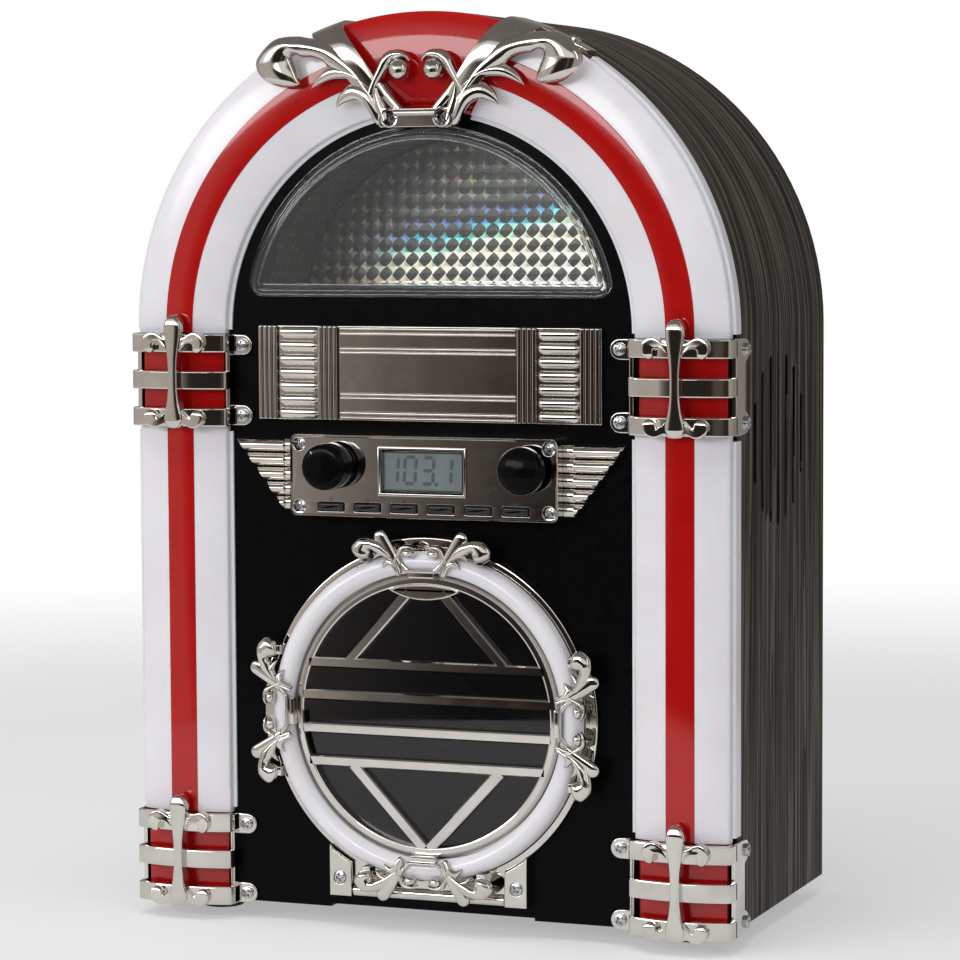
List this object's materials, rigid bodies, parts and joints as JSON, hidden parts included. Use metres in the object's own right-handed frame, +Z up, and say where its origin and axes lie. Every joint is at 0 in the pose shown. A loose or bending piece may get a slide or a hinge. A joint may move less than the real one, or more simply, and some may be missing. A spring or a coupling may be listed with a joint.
{
  "type": "tabletop cd jukebox",
  "caption": "Arched tabletop disc player with wooden wrap, red and white light tubes, chrome trim, display fascia with knob and keys, and a round drop-down disc door.",
  "frame": {"origin": "middle of the footprint on the table, under the centre of the whole box", "axes": "+Z up, -Y out of the front panel, +X to the right as seen from the front"},
  "size_m": [0.2588, 0.149, 0.367],
  "materials": {
    "wood_veneer": "satin",
    "black_board": "matte",
    "foot_rubber": "matte",
    "black_gloss": "gloss",
    "white_lens": "gloss",
    "red_lens": "gloss",
    "chrome_plate": "polished",
    "screw_steel": "satin",
    "clear_lens": "gloss",
    "smoked_lens": "gloss",
    "prism_foil": "polished",
    "lcd_glass": "satin",
    "black_plastic": "matte",
    "knob_black": "gloss",
    "key_black": "satin",
    "board_green": "satin",
    "motor_metal": "satin",
    "speaker_dark": "satin",
    "core_steel": "satin",
    "gear_cream": "satin"
  },
  "bodies": {
    "cabinet": {"cabinet_wrap": "wood_veneer", "base_board": "black_board", "rear_cover": "black_board", "feet": "foot_rubber", "front_panel": "black_gloss", "left_column_lens": "white_lens", "right_column_lens": "white_lens", "arch_lenses": "white_lens", "red_stripes": "red_lens", "clamp_inserts": "red_lens", "crown_lens": "red_lens", "upper_left_clamp": "chrome_plate", "upper_right_clamp": "chrome_plate", "lower_left_clamp": "chrome_plate", "lower_right_clamp": "chrome_plate", "crown_ornament": "chrome_plate", "nameplate_grille": "chrome_plate", "wing_trim": "chrome_plate", "control_fascia": "chrome_plate", "hinge_ears": "chrome_plate", "wood_screws": "screw_steel", "trim_screws": "screw_steel", "hinge_pin": "screw_steel", "guide_rods": "screw_steel", "window_lens": "clear_lens", "lcd_window": "clear_lens", "window_foil": "prism_foil", "lcd_module": "lcd_glass", "window_housing": "black_plastic", "disc_well": "black_plastic", "door_latch": "black_plastic", "mains_inlet": "black_plastic", "aux_jack": "black_plastic", "light_switch": "black_plastic", "light_boards": "board_green", "control_board": "board_green", "main_board": "board_green", "volume_pot": "motor_metal", "drive_chassis": "motor_metal", "spindle_motor": "motor_metal", "sled_motor": "motor_metal", "left_speaker": "speaker_dark", "right_speaker": "speaker_dark", "transformer": "core_steel"},
    "door": {"door_frame": "chrome_plate", "door_light_ring": "white_lens", "ring_board": "board_green", "door_window": "smoked_lens", "door_ornaments": "chrome_plate"},
    "volume_knob": {"volume_knob": "knob_black"},
    "light_button": {"light_button": "knob_black"},
    "power_key": {"power_key": "key_black"},
    "repeat_key": {"repeat_key": "key_black"},
    "stop_key": {"stop_key": "key_black"},
    "play_key": {"play_key": "key_black"},
    "back_key": {"back_key": "key_black"},
    "next_key": {"next_key": "key_black"},
    "disc_hub": {"disc_hub": "black_plastic"},
    "pickup_sled": {"pickup_sled": "black_plastic"},
    "sled_gear": {"sled_gear": "gear_cream"}
  },
  "joints": [
    {"name": "door_hinge", "type": "hinge", "parent": "cabinet", "child": "door", "pos_m": [0, -0.05675, 0.0152], "axis": [1, 0, 0], "range_deg": [0, 55]},
    {"name": "volume_turn", "type": "hinge", "parent": "cabinet", "child": "volume_knob", "pos_m": [-0.038, -0.06595, 0.1874], "axis": [0, 1, 0], "range_deg": [-150, 150]},
    {"name": "light_push", "type": "slide", "parent": "cabinet", "child": "light_button", "axis": [0, 1, 0], "range_m": [0, 0.003], "stiffness_N_per_m": 400},
    {"name": "power_press", "type": "slide", "parent": "cabinet", "child": "power_key", "axis": [0, 1, 0], "range_m": [0, 0.0008], "stiffness_N_per_m": 900},
    {"name": "repeat_press", "type": "slide", "parent": "cabinet", "child": "repeat_key", "axis": [0, 1, 0], "range_m": [0, 0.0008], "stiffness_N_per_m": 900},
    {"name": "stop_press", "type": "slide", "parent": "cabinet", "child": "stop_key", "axis": [0, 1, 0], "range_m": [0, 0.0008], "stiffness_N_per_m": 900},
    {"name": "play_press", "type": "slide", "parent": "cabinet", "child": "play_key", "axis": [0, 1, 0], "range_m": [0, 0.0008], "stiffness_N_per_m": 900},
    {"name": "back_press", "type": "slide", "parent": "cabinet", "child": "back_key", "axis": [0, 1, 0], "range_m": [0, 0.0008], "stiffness_N_per_m": 900},
    {"name": "next_press", "type": "slide", "parent": "cabinet", "child": "next_key", "axis": [0, 1, 0], "range_m": [0, 0.0008], "stiffness_N_per_m": 900},
    {"name": "disc_spin", "type": "hinge", "parent": "cabinet", "child": "disc_hub", "pos_m": [0, -0.04395, 0.0877], "axis": [0, 1, 0], "continuous": true},
    {"name": "pickup_slide", "type": "slide", "parent": "cabinet", "child": "pickup_sled", "axis": [1, 0, 0], "range_m": [0, 0.034]},
    {"name": "gear_turn", "type": "hinge", "parent": "cabinet", "child": "sled_gear", "pos_m": [0.041, -0.03345, 0.0567], "axis": [0, 1, 0], "range_deg": [-1, 280]}
  ],
  "couplings": [
    {"joint": "gear_turn", "follows": "pickup_slide", "rad_per_m": 142.86}
  ]
}
